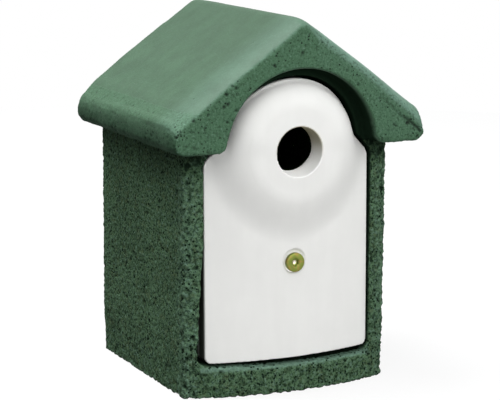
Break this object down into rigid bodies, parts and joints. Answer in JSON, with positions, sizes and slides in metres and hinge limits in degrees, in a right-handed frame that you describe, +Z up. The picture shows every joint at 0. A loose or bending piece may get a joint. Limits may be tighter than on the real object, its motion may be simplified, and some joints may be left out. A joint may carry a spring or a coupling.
{
  "type": "nest box",
  "caption": "House-shaped wood-concrete nest box with a gabled roof, an arched front, a lift-out panel with a round entrance hole, and a bolt that holds the panel.",
  "frame": {"origin": "on the ground under the middle of the roof's length and width", "axes": "+Z up, X across the front, the front with the panel faces -Y"},
  "size_m": [0.1784, 0.1694, 0.2437],
  "materials": {
    "green_concrete": "rough, open-pored, dark green",
    "smooth_green_concrete": "smooth green with fine pits",
    "white_concrete": "smooth, matt off-white",
    "yellow_zinc": "yellow passivated zinc",
    "steel": "zinc-plated"
  },
  "bodies": {
    "box": {"floor_slab": "green_concrete", "left_wall": "green_concrete", "right_wall": "green_concrete", "back_wall": "green_concrete", "front_sill": "green_concrete", "left_jamb": "green_concrete", "right_jamb": "green_concrete", "roof": "smooth_green_concrete", "cross_strap": "steel", "strap_nut": "steel"},
    "front_panel": {"front_panel": "white_concrete"},
    "panel_bolt": {"panel_bolt": "yellow_zinc", "bolt_washer": "steel"}
  },
  "joints": [
    {"name": "panel_pull", "type": "slide", "parent": "box", "child": "front_panel", "axis": [0, -1, 0], "range_m": [0, 0.1]},
    {"name": "bolt_unscrew", "type": "slide", "parent": "front_panel", "child": "panel_bolt", "axis": [0, -1, 0], "range_m": [0, 0.045]}
  ]
}
